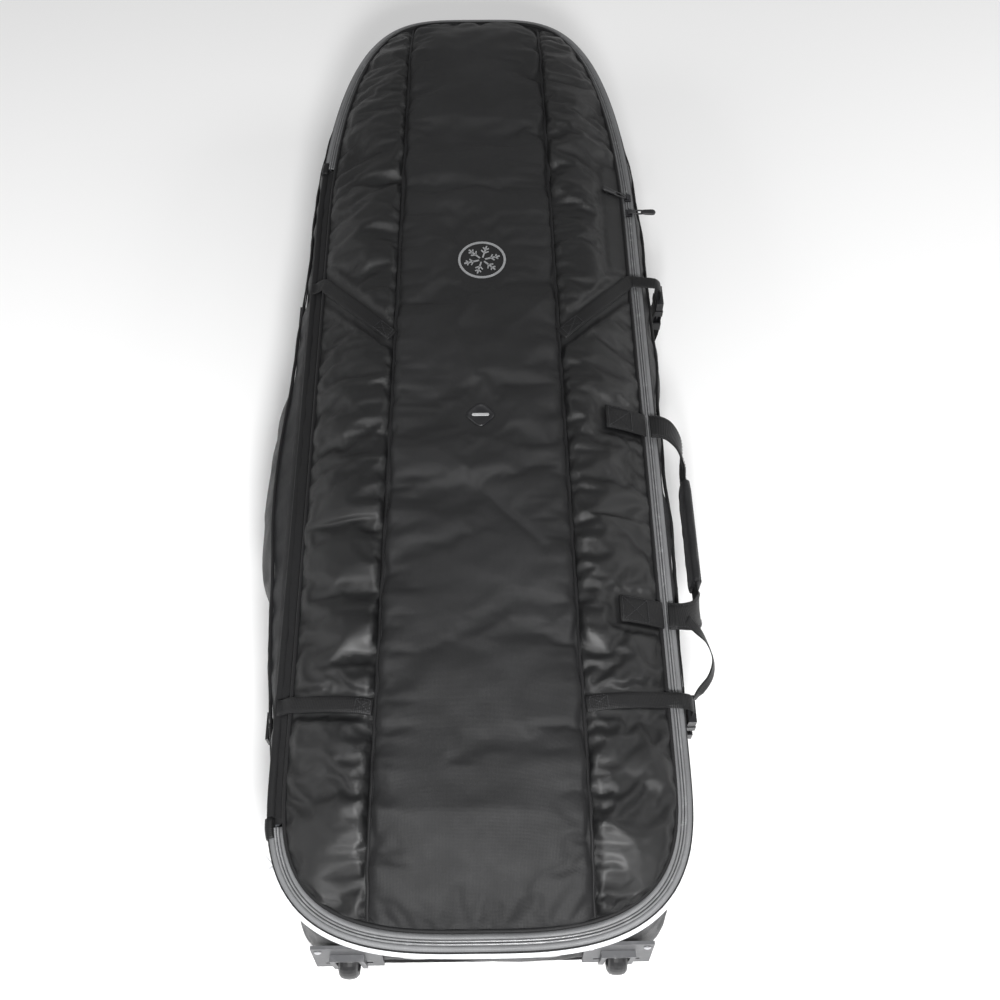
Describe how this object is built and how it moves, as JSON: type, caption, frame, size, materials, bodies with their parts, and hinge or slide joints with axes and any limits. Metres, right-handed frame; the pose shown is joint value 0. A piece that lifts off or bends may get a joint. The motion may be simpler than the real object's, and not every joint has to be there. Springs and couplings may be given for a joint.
{
  "type": "wheeled board travel bag",
  "caption": "Long padded wheeled travel bag for boards, with a zipped hinged lid, side-release compression straps and webbing carry handles.",
  "frame": {"origin": "centre of the flat rest face of the back, with the bag lying on its back", "axes": "+Z out through the lid; -Y towards the wheeled foot end; +X towards the zipped side with the carry handle, away from the fabric hinge"},
  "size_m": [0.577, 1.5552, 0.2874],
  "materials": {
    "wall_fabric": "heavy black nylon, coated",
    "foam": "closed-cell foam behind scrim",
    "lining_fabric": "thin dark grey lining",
    "zipper_tape": "silver-grey woven zipper tape",
    "zipper_coil": "grey nylon coil",
    "reflective_piping": "pale reflective piping",
    "stand_foot_plastic": "moulded bumper",
    "housing_plastic": "grey moulded plastic, fine texture",
    "fastener_steel": "zinc-plated screw and bolt",
    "wheel_tyre": "dark polyurethane tread",
    "wheel_hub": "moulded hub",
    "lid_nylon": "charcoal plain-weave nylon, matt",
    "side_nylon": "black nylon, slightly shiny, wrinkled",
    "emblem": "pale printed ring with a plain snow crystal",
    "rubber_patch": "moulded round patch with a plain bar",
    "slider_metal": "dark plated zinc slider",
    "pull_tab": "black cord and moulded tab",
    "webbing": "black ribbed polyester webbing",
    "buckle_plastic": "black acetal",
    "grip_wrap": "padded hook-and-loop wrap"
  },
  "bodies": {
    "base": {"back_panel": "wall_fabric", "back_foam_pad": "foam", "side_gusset_left": "wall_fabric", "side_gusset_right": "wall_fabric", "head_gusset": "wall_fabric", "foot_gusset": "wall_fabric", "foot_stiffener": "lining_fabric", "zipper_tape_base": "zipper_tape", "zipper_coil_base": "zipper_coil", "foot_piping": "reflective_piping", "stand_foot_left": "stand_foot_plastic", "stand_foot_right": "stand_foot_plastic", "wheel_housing_left": "housing_plastic", "axle_bolt_left": "fastener_steel", "housing_screw_left_inner": "fastener_steel", "housing_screw_left_outer": "fastener_steel", "wheel_housing_right": "housing_plastic", "axle_bolt_right": "fastener_steel", "housing_screw_right_inner": "fastener_steel", "housing_screw_right_outer": "fastener_steel", "strap_base_right_upper": "webbing", "strap_base_left_upper": "webbing", "triglide_left_upper": "buckle_plastic", "strap_base_right_lower": "webbing", "strap_base_left_lower": "webbing", "triglide_left_lower": "buckle_plastic", "inner_tie_strap_foot": "webbing", "inner_tie_strap_head": "webbing"},
    "lid": {"lid_center_panel": "lid_nylon", "lid_side_panel_left": "side_nylon", "lid_side_panel_right": "side_nylon", "lid_foam_core": "foam", "lid_lining": "lining_fabric", "zipper_tape_lid": "zipper_tape", "zipper_coil_lid": "zipper_coil", "hinge_strip": "wall_fabric", "emblem_patch": "emblem", "label_patch": "rubber_patch", "strap_lid_right_upper": "webbing", "strap_lid_left_upper": "webbing", "buckle_male_upper": "buckle_plastic", "strap_lid_right_lower": "webbing", "strap_lid_left_lower": "webbing", "buckle_male_lower": "buckle_plastic", "side_handle_tab_head": "webbing", "side_handle_tab_foot": "webbing"},
    "buckle_female_upper": {"buckle_female_upper": "buckle_plastic"},
    "buckle_female_lower": {"buckle_female_lower": "buckle_plastic"},
    "slider_foot": {"zipper_slider_foot": "slider_metal"},
    "slider_head": {"zipper_slider_head": "slider_metal"},
    "pull_foot": {"zipper_pull_foot": "pull_tab"},
    "pull_head": {"zipper_pull_head": "pull_tab"},
    "side_handle": {"side_handle_webbing": "webbing", "side_handle_grip": "grip_wrap"},
    "head_handle": {"head_handle_webbing": "webbing"},
    "wheel_left": {"wheel_tyre_left": "wheel_tyre", "wheel_hub_left": "wheel_hub"},
    "wheel_right": {"wheel_tyre_right": "wheel_tyre", "wheel_hub_right": "wheel_hub"}
  },
  "joints": [
    {"name": "lid_hinge", "type": "hinge", "parent": "base", "child": "lid", "pos_m": [-0.2425, 0, 0.241], "axis": [0, -1, 0], "range_deg": [0, 165]},
    {"name": "wheel_left_spin", "type": "hinge", "parent": "base", "child": "wheel_left", "pos_m": [-0.165, -0.7305, 0.028], "axis": [1, 0, 0], "continuous": true},
    {"name": "wheel_right_spin", "type": "hinge", "parent": "base", "child": "wheel_right", "pos_m": [0.165, -0.7305, 0.028], "axis": [1, 0, 0], "continuous": true},
    {"name": "buckle_upper_slide", "type": "slide", "parent": "base", "child": "buckle_female_upper", "axis": [0, 0, -1], "range_m": [0, 0.036]},
    {"name": "buckle_lower_slide", "type": "slide", "parent": "base", "child": "buckle_female_lower", "axis": [0, 0, -1], "range_m": [0, 0.036]},
    {"name": "slider_foot_slide", "type": "slide", "parent": "lid", "child": "slider_foot", "axis": [0, -1, 0], "range_m": [0, 0.1]},
    {"name": "slider_head_slide", "type": "slide", "parent": "lid", "child": "slider_head", "axis": [0, 1, 0], "range_m": [0, 0.03]},
    {"name": "pull_foot_hinge", "type": "hinge", "parent": "slider_foot", "child": "pull_foot", "pos_m": [0.233, 0.3, 0.2479], "axis": [0, -1, 0], "range_deg": [0, 150]},
    {"name": "pull_head_hinge", "type": "hinge", "parent": "slider_head", "child": "pull_head", "pos_m": [0.233, 0.331, 0.2479], "axis": [0, 1, 0], "range_deg": [0, 120]},
    {"name": "side_handle_hinge", "type": "hinge", "parent": "lid", "child": "side_handle", "pos_m": [0.229, -0.235, 0.251], "axis": [0, -1, 0], "range_deg": [0, 110]},
    {"name": "head_handle_hinge", "type": "hinge", "parent": "base", "child": "head_handle", "pos_m": [0, 0.769, 0.163], "axis": [1, 0, 0], "range_deg": [0, 90]}
  ]
}
